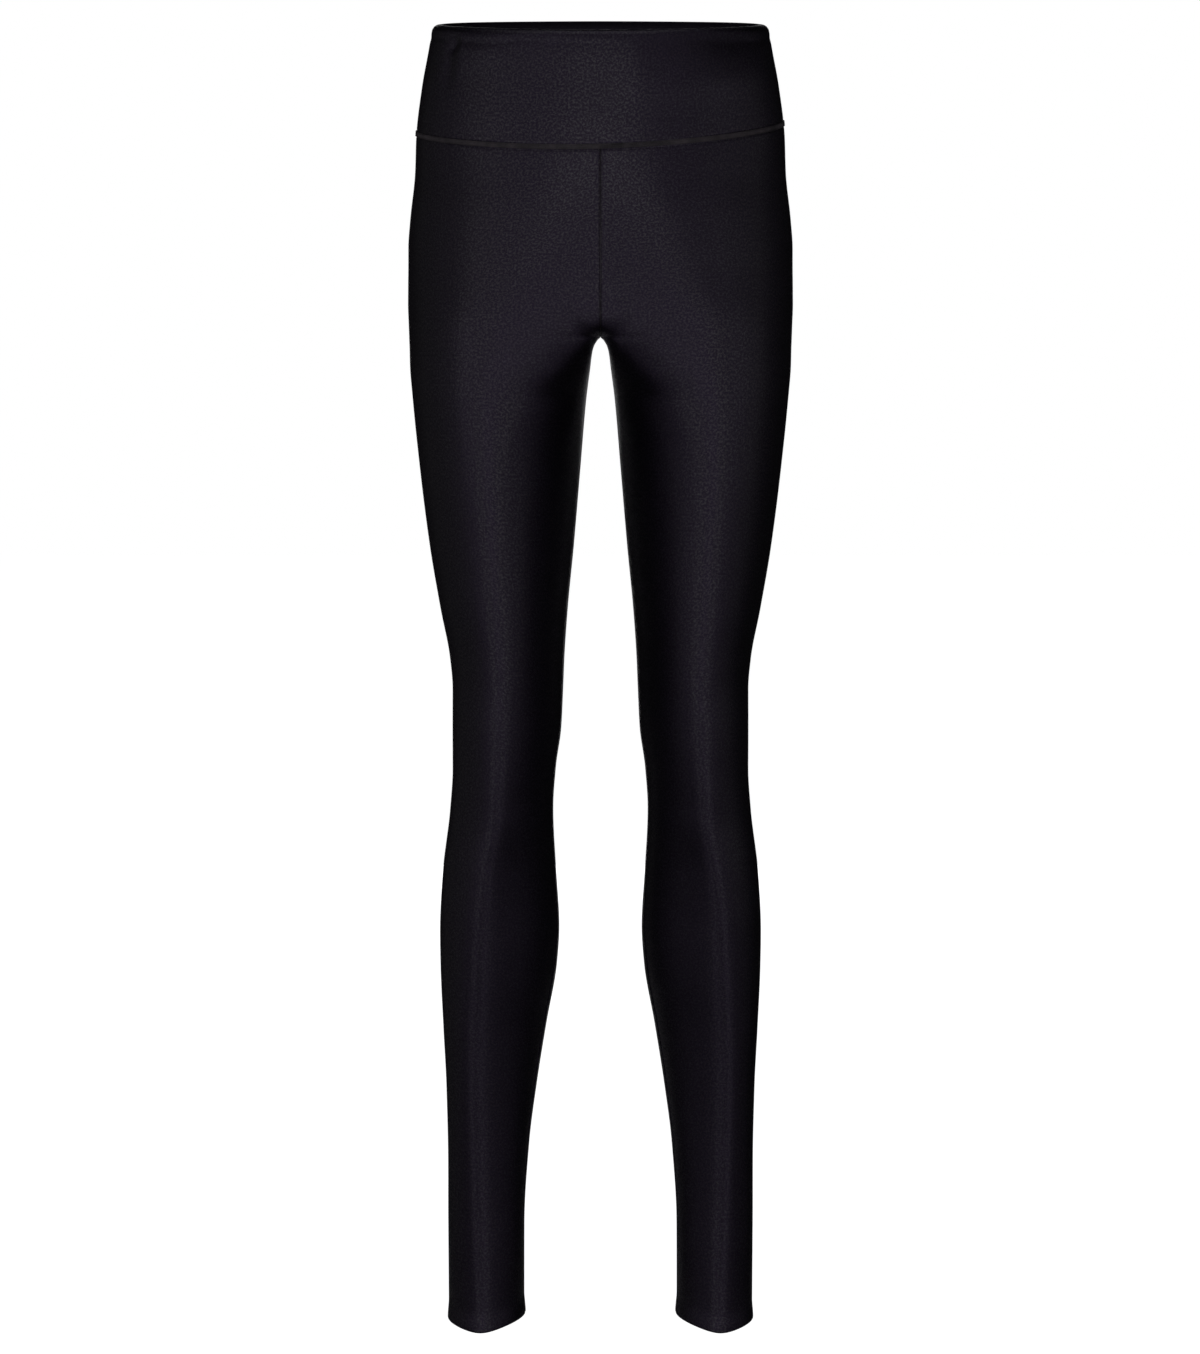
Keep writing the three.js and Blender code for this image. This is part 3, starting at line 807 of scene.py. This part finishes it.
# Soft boxes stand round the object and face its middle line: degrees from the front towards the
# viewer's right, metres away, height of the middle, degrees that the box is tipped down, width,
# height, and how bright the face is, where 1 looks white.
boxColumns = ("turn", "away", "middle", "tip", "width", "height", "bright")
softBoxes = [
    (0, 3.9, 0.65, 0, 1.8, 1.0, 1.6),
    (0, 3.9, -1.3, 0, 2.0, 0.9, 0.5),
    (-30, 3.4, 0.15, 0, 1.8, 2.0, 0.46),
    (-30, 3.4, -1.25, 0, 1.8, 0.8, 0.85),
    (-60, 3.0, 0.3, 0, 1.6, 1.7, 0.6),
    (-90, 3.0, -0.35, 0, 1.6, 3.0, 0.11),
    (-120, 3.0, -0.35, 0, 1.6, 3.0, 0.05),
    (30, 3.4, -0.73, 0, 1.8, 1.76, 0.8),
    (60, 3.0, -0.1, 0, 1.6, 1.5, 0.42),
    (90, 3.0, -0.1, 0, 1.6, 1.5, 0.26),
    (180, 3.8, 0.3, 0, 1.5, 1.6, 0.7),
    (180, 3.8, -1.2, 0, 1.5, 1.3, 1.0),
    (0, 0.5, 2.1, 80, 2.4, 1.6, 0.5),
    (180, 1.4, -1.9, -80, 2.4, 1.4, 0.7),
]


def makeLights():
    for box in (dict(zip(boxColumns, row)) for row in softBoxes):
        data = bpy.data.lights.new("softBox", "AREA")
        data.shape = "RECTANGLE"
        data.size, data.size_y = box["width"], box["height"]
        data.energy = box["bright"] * math.pi * data.size * data.size_y
        light = bpy.data.objects.new("softBox", data)
        turn = math.radians(box["turn"])
        light.location = (box["away"] * math.sin(turn), -box["away"] * math.cos(turn), box["middle"])
        light.rotation_euler = (math.radians(90 - box["tip"]), 0, turn)
        light.visible_camera = False
        bpy.context.scene.collection.objects.link(light)


stageLook = {"floorBelow": 0.09, "floorSize": 30, "backdrop": 1.0, "surroundings": 0.004}


# The world is white behind the object and dim all round it, as between black flags
def makeStage():
    world = bpy.data.worlds.new("studio")
    bpy.context.scene.world = world
    world.use_nodes = True
    world.node_tree.nodes.clear()
    wire = Wire(world.node_tree)
    white = (1, 1, 1, 1)
    behind = wire.node("Background", None, {"Strength": stageLook["backdrop"], "Color": white})
    around = wire.node("Background", None, {"Strength": stageLook["surroundings"], "Color": white})
    seen = wire.node("LightPath")
    both = wire.node("MixShader", None, {0: seen, 1: around, 2: behind})
    wire.node("OutputWorld", None, {"Surface": both})
    pale, floorWire = newMaterial("paleFloor", (0.9, 0.9, 0.9))
    grain = floorWire.node("TexNoise", None, {"Scale": 3.0, "Vector": floorWire.node("TexCoord", out=3)})
    stops = [(0, (0.88, 0.88, 0.88)), (1, (0.92, 0.92, 0.92))]
    tone = floorWire.node("ValToRGB", {"stops": stops}, {"Fac": grain})
    shader = floorWire.node("BsdfPrincipled", None, {
        "Base Color": tone, "Roughness": 0.9, "Emission Color": white, "Emission Strength": 1.0,
    })
    floorWire.node("OutputMaterial", None, {"Surface": shader})
    half = stageLook["floorSize"] / 2 / metre
    z = cadBox[0][2] / metre - stageLook["floorBelow"] / metre
    corners = np.array([(-half, -half, z), (half, -half, z), (half, half, z), (-half, half, z)])
    floor = makeObject("floor", corners, np.array([[0, 1, 2, 3]]), pale)
    floor.visible_glossy = False
    floor.visible_diffuse = False
    floor.visible_shadow = False


makeCamera()
makeLights()
makeStage()
print("camera, lights and floor made")
